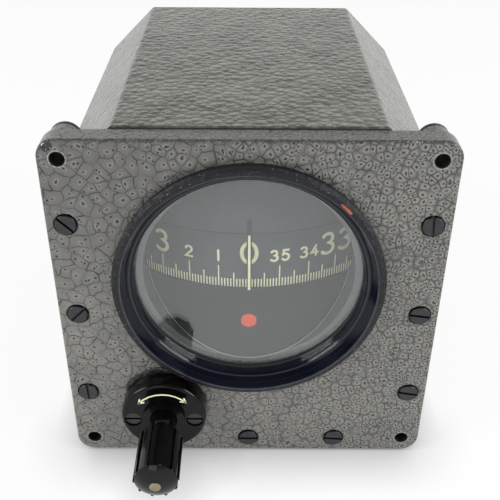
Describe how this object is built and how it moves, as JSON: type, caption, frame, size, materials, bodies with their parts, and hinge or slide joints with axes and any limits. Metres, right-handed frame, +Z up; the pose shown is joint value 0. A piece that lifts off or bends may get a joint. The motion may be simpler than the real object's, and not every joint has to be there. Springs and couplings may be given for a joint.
{
  "type": "panel gyrocompass",
  "caption": "Panel-mounted directional gyro with a turning card behind a round window, a caging knob and a chamfered case.",
  "frame": {"origin": "centre of the four corner holes on the front face of the panel", "axes": "-Y out of the panel towards the reader, +X to the reader's right, +Z up"},
  "size_m": [0.13, 0.1947, 0.1316],
  "materials": {
    "panel_enamel": "grey hammertone enamel on cast alloy",
    "case_enamel": "grey-green hammertone enamel on sheet alloy",
    "bare_alloy": "turned and milled aluminium alloy",
    "cast_alloy": "cast alloy, machined",
    "rubber": "black rubber",
    "black_steel": "blackened steel",
    "bezel_lacquer": "glossy black lacquer on turned metal",
    "window_glass": "clear flat glass",
    "dial_paint": "matt dark grey paint",
    "card_paint": "matt black paint with cream marks",
    "cream_paint": "cream luminous paint",
    "red_paint": "red paint",
    "bakelite": "black moulded bakelite",
    "brass": "turned brass",
    "steel": "ground steel",
    "rotor_steel": "turned steel",
    "insulator": "brown moulded resin",
    "bronze": "bronze",
    "stator_iron": "varnished iron laminations"
  },
  "bodies": {
    "instrument": {"front_panel": "panel_enamel", "corner_bushes": "bare_alloy", "corner_shims": "rubber", "corner_nut_plates": "black_steel", "panel_screws": "black_steel", "case_gasket": "rubber", "case_shell": "case_enamel", "bezel_ring": "bezel_lacquer", "window_glass": "window_glass", "glass_gasket": "rubber", "dial_frame": "dial_paint", "dial_frame_screws": "black_steel", "dial_mask_lower": "dial_paint", "dial_mask_upper": "dial_paint", "lubber_line": "cream_paint", "red_marker": "red_paint", "knob_flange": "bakelite", "flange_screws": "black_steel", "shaft_bush": "bronze", "guide_rods": "steel", "return_spring": "steel", "upper_bracket": "cast_alloy", "lower_bracket": "cast_alloy", "rear_post": "cast_alloy", "frame_screws": "steel", "upper_bearing": "steel", "lower_bearing": "steel", "brush_block": "insulator", "brushes": "bronze", "torquer_stator": "stator_iron", "connector_shell": "bare_alloy", "connector_insert": "insulator", "connector_pins": "brass", "connector_screws": "steel"},
    "carriage": {"slide_yoke": "cast_alloy"},
    "caging_knob": {"knob": "bakelite", "knob_pin": "brass", "knob_shaft": "steel", "knob_gear": "brass"},
    "lay_train": {"lay_shaft": "steel", "lay_gear": "brass", "lay_pinion": "steel"},
    "plunger": {"cage_plunger": "steel"},
    "card_gimbal": {"outer_gimbal": "cast_alloy", "tilt_bearings": "steel", "upper_trunnion": "steel", "lower_trunnion": "steel", "crown_gear": "brass", "card_spider": "bare_alloy", "card_drum": "card_paint", "slip_rings": "bronze", "torquer_rotor": "rotor_steel"},
    "rotor_case": {"rotor_housing_body": "cast_alloy", "rotor_housing_cover": "cast_alloy", "tilt_pivots": "steel", "rotor_bearings": "steel", "stator": "stator_iron"},
    "gyro_rotor": {"rotor": "rotor_steel", "rotor_shaft": "steel"}
  },
  "joints": [
    {"name": "knob_push", "type": "slide", "parent": "instrument", "child": "carriage", "axis": [0, 1, 0], "range_m": [0, 0.008], "stiffness_N_per_m": 400, "springref_m": -0.003, "deforming": ["return_spring"]},
    {"name": "knob_turn", "type": "hinge", "parent": "carriage", "child": "caging_knob", "pos_m": [-0.0306, 0, -0.0413], "axis": [0, 1, 0], "continuous": true},
    {"name": "lay_turn", "type": "hinge", "parent": "carriage", "child": "lay_train", "pos_m": [0, 0, -0.0413], "axis": [0, 1, 0], "continuous": true},
    {"name": "cage_lift", "type": "slide", "parent": "instrument", "child": "plunger", "axis": [0, 0, 1], "range_m": [0, 0.004]},
    {"name": "card_turn", "type": "hinge", "parent": "instrument", "child": "card_gimbal", "pos_m": [0, 0.0672, 0], "axis": [0, 0, 1], "continuous": true},
    {"name": "gyro_tilt", "type": "hinge", "parent": "card_gimbal", "child": "rotor_case", "pos_m": [0, 0.0672, 0], "axis": [1, 0, 0], "range_deg": [-85, 85]},
    {"name": "rotor_spin", "type": "hinge", "parent": "rotor_case", "child": "gyro_rotor", "pos_m": [0, 0.0672, 0], "axis": [0, 1, 0], "continuous": true}
  ],
  "couplings": [
    {"joint": "lay_turn", "follows": "knob_turn", "ratio": -2},
    {"joint": "cage_lift", "follows": "knob_push", "ratio": 0.5}
  ]
}
